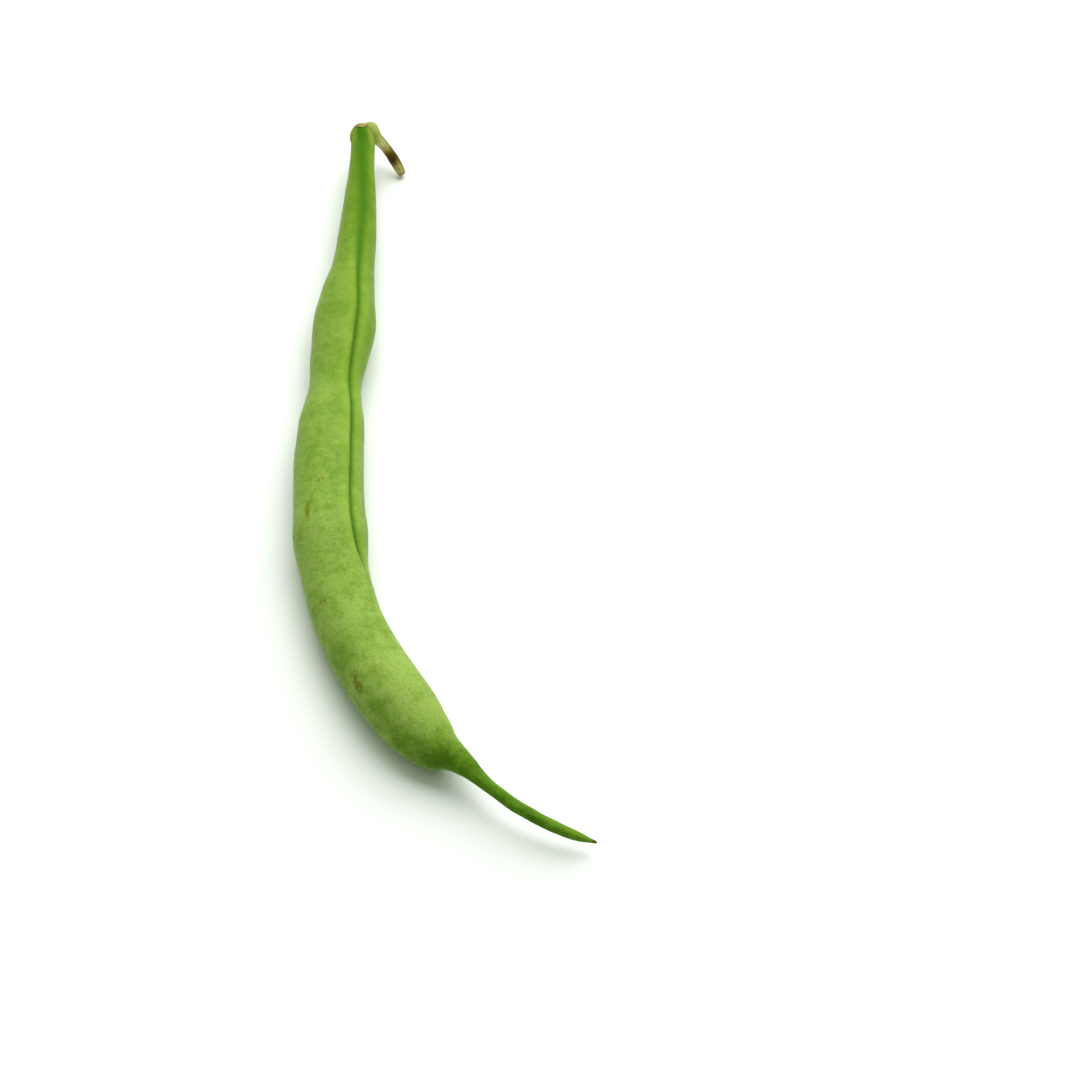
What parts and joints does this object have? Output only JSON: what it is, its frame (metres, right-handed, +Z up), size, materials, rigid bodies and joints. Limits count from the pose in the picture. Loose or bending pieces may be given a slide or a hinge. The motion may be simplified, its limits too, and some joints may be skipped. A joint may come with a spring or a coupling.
{
  "type": "green bean",
  "caption": "Green bean pod as picked, curved and gently lumpy over its seeds, with a drawn-out beak, a torn dried calyx and a bent stem.",
  "frame": {"origin": "Under the middle of the bean's bounding box, on the surface it lies on.", "axes": "+Z up from the surface; +Y along the bean towards its stem end, with the beak to -Y; +X to the side that the beak and the stem bend to."},
  "size_m": [0.0376, 0.1164, 0.0091],
  "materials": {
    "pod": "satin green skin, slightly velvety",
    "calyx": "dry, papery brown",
    "pedicel": "matte yellow-green stem"
  },
  "bodies": {
    "root": {"pod": "pod", "calyx": "calyx", "pedicel": "pedicel"}
  },
  "joints": []
}
